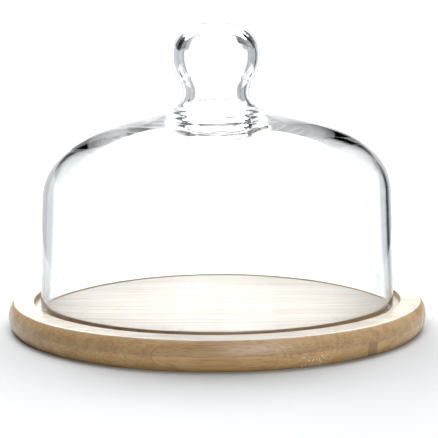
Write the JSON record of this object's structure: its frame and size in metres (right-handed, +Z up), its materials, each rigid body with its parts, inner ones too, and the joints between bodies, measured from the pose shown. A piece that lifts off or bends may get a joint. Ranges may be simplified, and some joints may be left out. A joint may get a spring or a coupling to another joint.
{
  "type": "cheese dome",
  "caption": "Blown glass cheese cloche with a hollow ball knob, resting in the routed groove of a round laminated bamboo serving board; the glass lifts straight off.",
  "frame": {"origin": "centre of the board's flat underside", "axes": "+Z up through the middle of the glass knob; X along the bamboo staves; -Y towards the viewer"},
  "size_m": [0.28, 0.28, 0.2015],
  "materials": {
    "clear_glass": "clear, fire-polished",
    "upper_bamboo": "sanded and lightly oiled bamboo",
    "lower_bamboo": "sanded and lightly oiled bamboo"
  },
  "bodies": {
    "board": {"upper_stave_1": "upper_bamboo", "upper_stave_2": "upper_bamboo", "upper_stave_3": "upper_bamboo", "upper_stave_4": "upper_bamboo", "upper_stave_5": "upper_bamboo", "upper_stave_6": "upper_bamboo", "upper_stave_7": "upper_bamboo", "upper_stave_8": "upper_bamboo", "upper_stave_9": "upper_bamboo", "upper_stave_10": "upper_bamboo", "upper_stave_11": "upper_bamboo", "lower_stave_1": "lower_bamboo", "lower_stave_2": "lower_bamboo", "lower_stave_3": "lower_bamboo", "lower_stave_4": "lower_bamboo", "lower_stave_5": "lower_bamboo", "lower_stave_6": "lower_bamboo", "lower_stave_7": "lower_bamboo", "lower_stave_8": "lower_bamboo", "lower_stave_9": "lower_bamboo", "lower_stave_10": "lower_bamboo", "lower_stave_11": "lower_bamboo", "lower_stave_12": "lower_bamboo", "lower_stave_13": "lower_bamboo", "lower_stave_14": "lower_bamboo", "lower_stave_15": "lower_bamboo", "lower_stave_16": "lower_bamboo", "lower_stave_17": "lower_bamboo", "lower_stave_18": "lower_bamboo", "lower_stave_19": "lower_bamboo", "lower_stave_20": "lower_bamboo", "lower_stave_21": "lower_bamboo", "lower_stave_22": "lower_bamboo"},
    "dome": {"glass_dome": "clear_glass"}
  },
  "joints": [
    {"name": "dome_lift", "type": "slide", "parent": "board", "child": "dome", "axis": [0, 0, 1], "range_m": [0, 0.16]}
  ]
}
